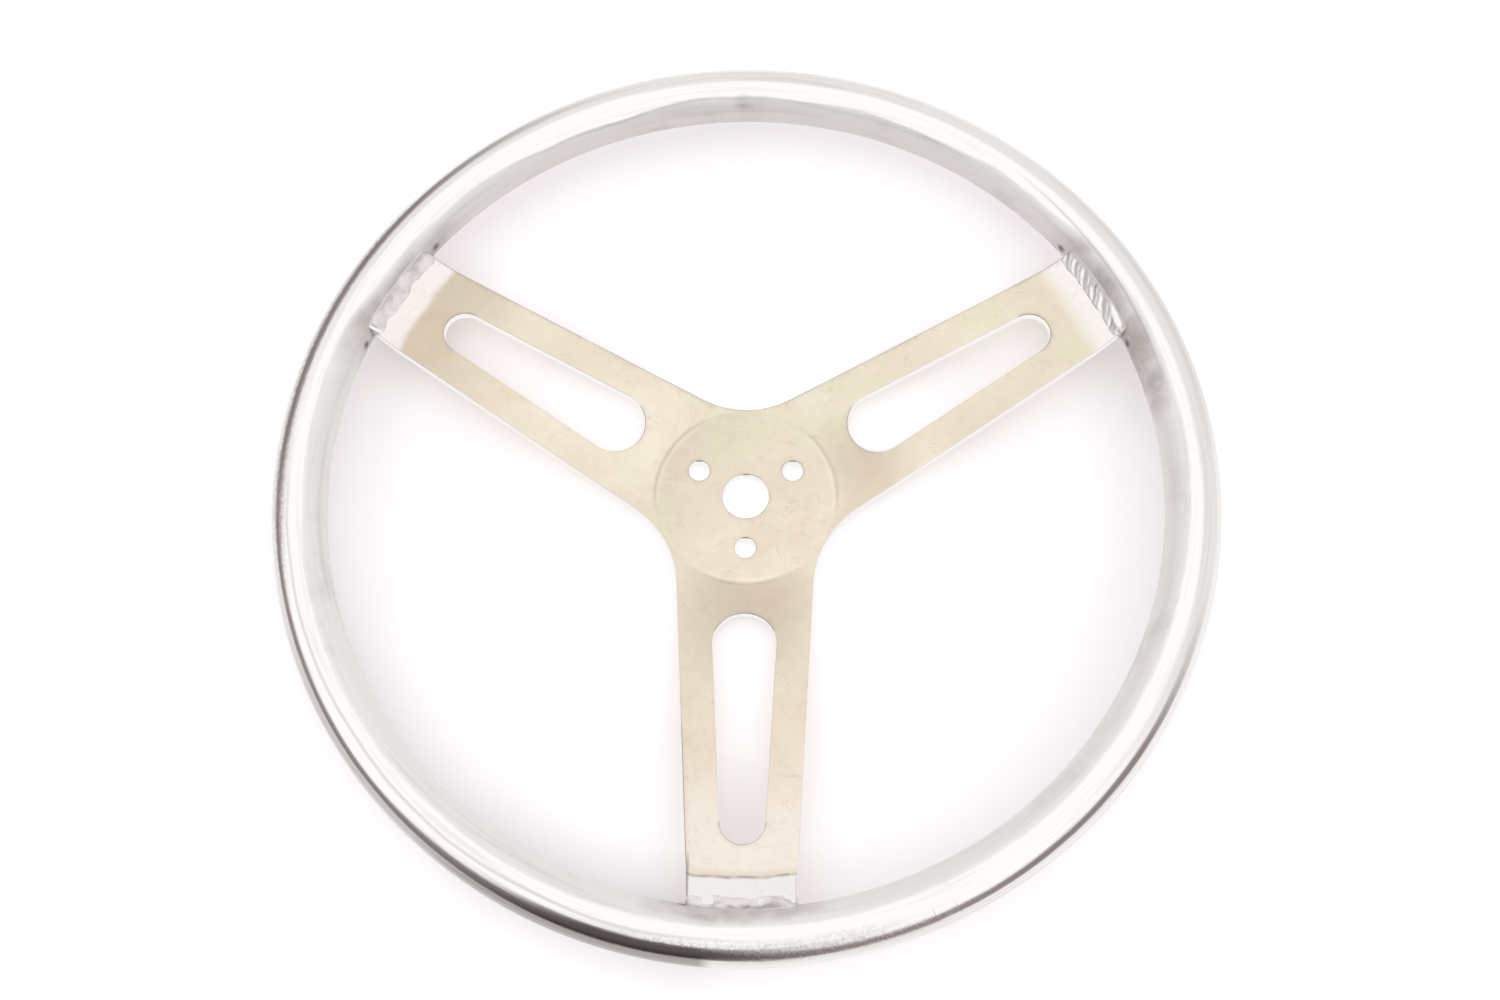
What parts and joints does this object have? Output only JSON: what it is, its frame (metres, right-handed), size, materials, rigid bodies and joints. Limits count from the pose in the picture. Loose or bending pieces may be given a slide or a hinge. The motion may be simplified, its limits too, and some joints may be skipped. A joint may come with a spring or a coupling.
{
  "type": "steering wheel",
  "caption": "Dished steering wheel of bare welded aluminium: a round tube rim on a pressed plate with slotted spokes, a flat hub with a centre hole and a bolt circle.",
  "frame": {"origin": "centre of the hub's flat back face, on the wheel's axis; the wheel lies on this face", "axes": "+Z along the wheel's axis towards the driver's side; the single lower spoke points along -Y; the other two spokes point up and to each side, at 30 and 150 degrees from +X"},
  "size_m": [0.381, 0.381, 0.0305],
  "materials": {
    "rim": "polished tube with fine turning and sanding marks",
    "seam_weld": "weld sanded flush and polished with the tube",
    "plate": "mill finish, lightly polished",
    "weld": "as welded, bright ripples"
  },
  "bodies": {
    "root": {"rim_tube": "rim", "rim_seam_weld": "seam_weld", "spoke_plate": "plate", "weld_front_lower": "weld", "weld_front_right": "weld", "weld_front_left": "weld", "weld_back_lower": "weld", "weld_back_right": "weld", "weld_back_left": "weld"}
  },
  "joints": []
}
